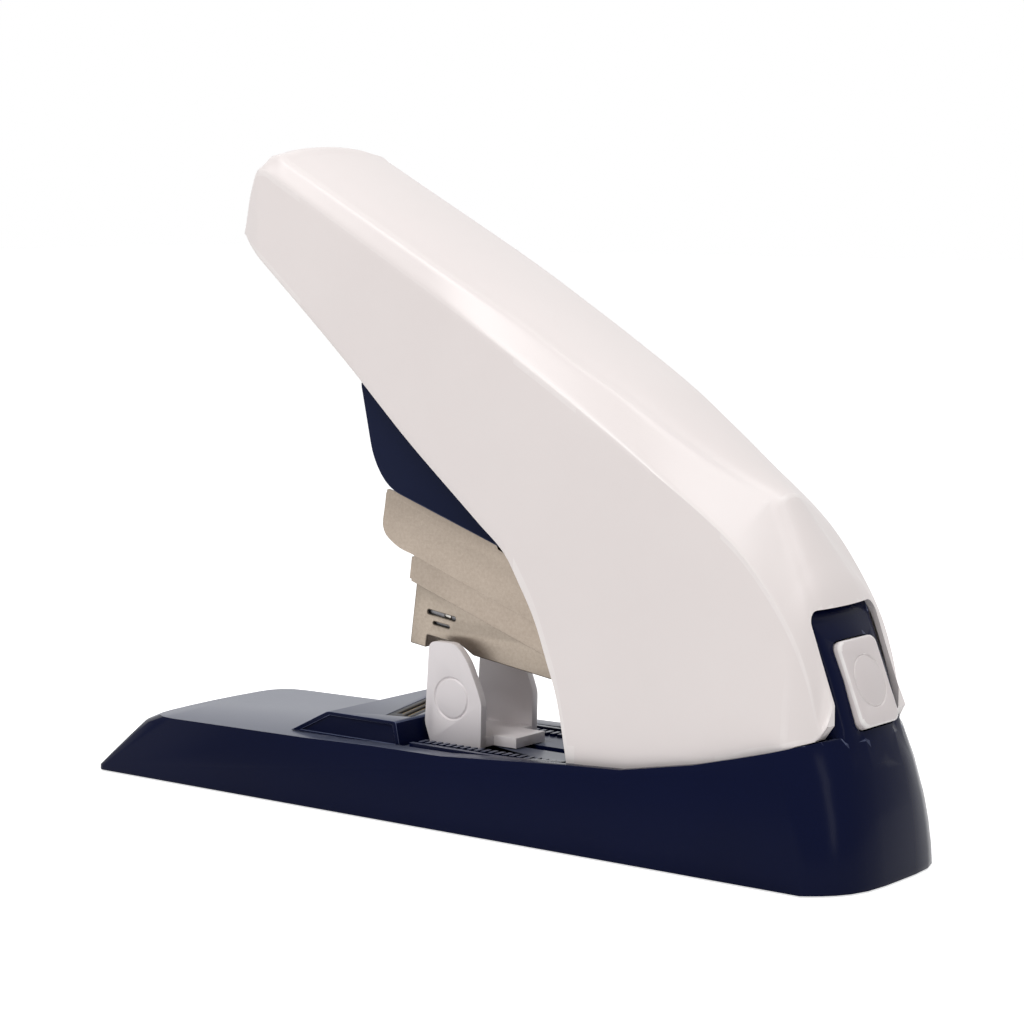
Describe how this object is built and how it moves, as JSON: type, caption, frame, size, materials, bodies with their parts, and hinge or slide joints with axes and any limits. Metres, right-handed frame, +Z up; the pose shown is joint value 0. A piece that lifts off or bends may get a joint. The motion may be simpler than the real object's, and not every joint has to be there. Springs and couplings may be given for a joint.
{
  "type": "heavy duty stapler",
  "caption": "Hand-operated stapler with a sprung overhead handle, tilting steel magazine head, drawer magazine, paper table with clincher, sliding depth gauge and rear release button.",
  "frame": {"origin": "middle of the overall length and width, on the plane under the feet", "axes": "+Z up, +X towards the back of the stapler, the nose and handle tip towards -X, +Y to the stapler's right seen from behind its nose"},
  "size_m": [0.2226, 0.0508, 0.1593],
  "materials": {
    "pin_steel": "ground steel",
    "zinc_sheet": "dull zinc-plated pressed sheet",
    "screw_steel": "dark plated steel",
    "base_plastic": "glossy dark navy moulded plastic, faintly worn",
    "plate_steel": "satin nickel-plated steel",
    "clincher_brass": "worn brass-coloured plated steel",
    "clincher_steel": "dark phosphated steel",
    "grey_plastic": "satin pale grey moulded plastic",
    "roller_steel": "hardened dark steel",
    "rubber": "matt black rubber",
    "cover_plastic": "warm off-white semi-gloss moulded plastic",
    "spring_steel": "dark rolled spring strip",
    "head_plastic": "glossy dark navy moulded plastic",
    "nickel_sheet": "satin nickel-plated sheet",
    "magazine_sheet": "satin nickel-plated sheet",
    "table_plastic": "glossy dark navy moulded plastic",
    "button_plastic": "satin pale grey moulded plastic"
  },
  "bodies": {
    "base": {"base_plate": "zinc_sheet", "base_screw_front_left": "screw_steel", "base_screw_front_right": "screw_steel", "base_screw_rear_left": "screw_steel", "base_screw_rear_right": "screw_steel", "base_shell": "base_plastic", "chassis": "plate_steel", "clincher_housing": "clincher_steel", "foot_front_left": "rubber", "foot_front_right": "rubber", "foot_rear_left": "rubber", "foot_rear_right": "rubber", "handle_pin_clip_left": "screw_steel", "handle_pin_clip_right": "screw_steel", "handle_pivot_pin": "pin_steel", "handle_return_spring": "spring_steel", "head_lift_spring": "spring_steel", "head_pin_clip_left": "screw_steel", "head_pin_clip_right": "screw_steel", "head_pivot_pin": "pin_steel", "paper_table": "table_plastic"},
    "handle": {"handle_cover": "cover_plastic", "handle_lever": "plate_steel", "roller_pin": "pin_steel", "drive_roller": "roller_steel", "cover_screw_front": "screw_steel", "cover_screw_rear": "screw_steel"},
    "head": {"head_frame": "nickel_sheet", "head_cover": "head_plastic", "magazine_guide": "nickel_sheet", "arm_pin": "pin_steel", "latch_pin": "pin_steel", "latch_spring": "spring_steel"},
    "arm": {"driver_arm": "plate_steel"},
    "driver": {"driver_blade": "plate_steel"},
    "magazine": {"magazine_body": "magazine_sheet"},
    "pusher": {"staple_pusher": "roller_steel", "pusher_roll_spring": "spring_steel", "roll_axle": "pin_steel"},
    "latch": {"magazine_latch": "plate_steel"},
    "gauge": {"depth_gauge": "grey_plastic", "gauge_retainer": "grey_plastic", "gauge_screw": "screw_steel"},
    "button": {"release_button": "button_plastic"},
    "clincher": {"clincher_blade_front": "clincher_brass", "clincher_blade_rear": "clincher_brass", "clincher_carrier": "plate_steel"}
  },
  "joints": [
    {"name": "handle_press", "type": "hinge", "parent": "base", "child": "handle", "pos_m": [0.0759, 0, 0.056], "axis": [0, -1, 0], "range_deg": [0, 20], "stiffness_Nm_per_rad": 1.5, "springref_deg": -28.65},
    {"name": "head_tilt", "type": "hinge", "parent": "base", "child": "head", "pos_m": [0.0899, 0, 0.02], "axis": [0, -1, 0], "range_deg": [0, 8], "deforming": ["head_lift_spring"]},
    {"name": "arm_swing", "type": "hinge", "parent": "head", "child": "arm", "pos_m": [0.0899, 0, 0.04302], "axis": [0, -1, 0], "range_deg": [0, 8]},
    {"name": "driver_drive", "type": "slide", "parent": "head", "child": "driver", "axis": [-0.1392, 0, -0.9903], "range_m": [0, 0.0148]},
    {"name": "clincher_lift", "type": "slide", "parent": "base", "child": "clincher", "axis": [0, 0, 1], "range_m": [0, 0.0008]},
    {"name": "magazine_slide", "type": "slide", "parent": "head", "child": "magazine", "axis": [-0.9903, 0, 0.1392], "range_m": [0, 0.068]},
    {"name": "pusher_slide", "type": "slide", "parent": "magazine", "child": "pusher", "axis": [0.9903, 0, -0.1392], "range_m": [0, 0.05], "stiffness_N_per_m": 20, "springref_m": -0.12},
    {"name": "latch_turn", "type": "hinge", "parent": "head", "child": "latch", "pos_m": [0.07495, 0, 0.03937], "axis": [0, 1, 0], "range_deg": [0, 14]},
    {"name": "gauge_slide", "type": "slide", "parent": "base", "child": "gauge", "axis": [1, 0, 0], "range_m": [0, 0.028]},
    {"name": "button_press", "type": "slide", "parent": "base", "child": "button", "axis": [-0.9311, 0, -0.3649], "range_m": [0, 0.003], "stiffness_N_per_m": 500, "springref_m": -0.002}
  ],
  "couplings": [
    {"joint": "head_tilt", "follows": "handle_press", "ratio": 0.4},
    {"joint": "arm_swing", "follows": "handle_press", "ratio": 0.4},
    {"joint": "driver_drive", "follows": "handle_press", "m_per_rad": 0.042397},
    {"joint": "clincher_lift", "follows": "handle_press", "m_per_rad": 0.00229},
    {"joint": "latch_turn", "follows": "button_press", "rad_per_m": 81.439}
  ]
}
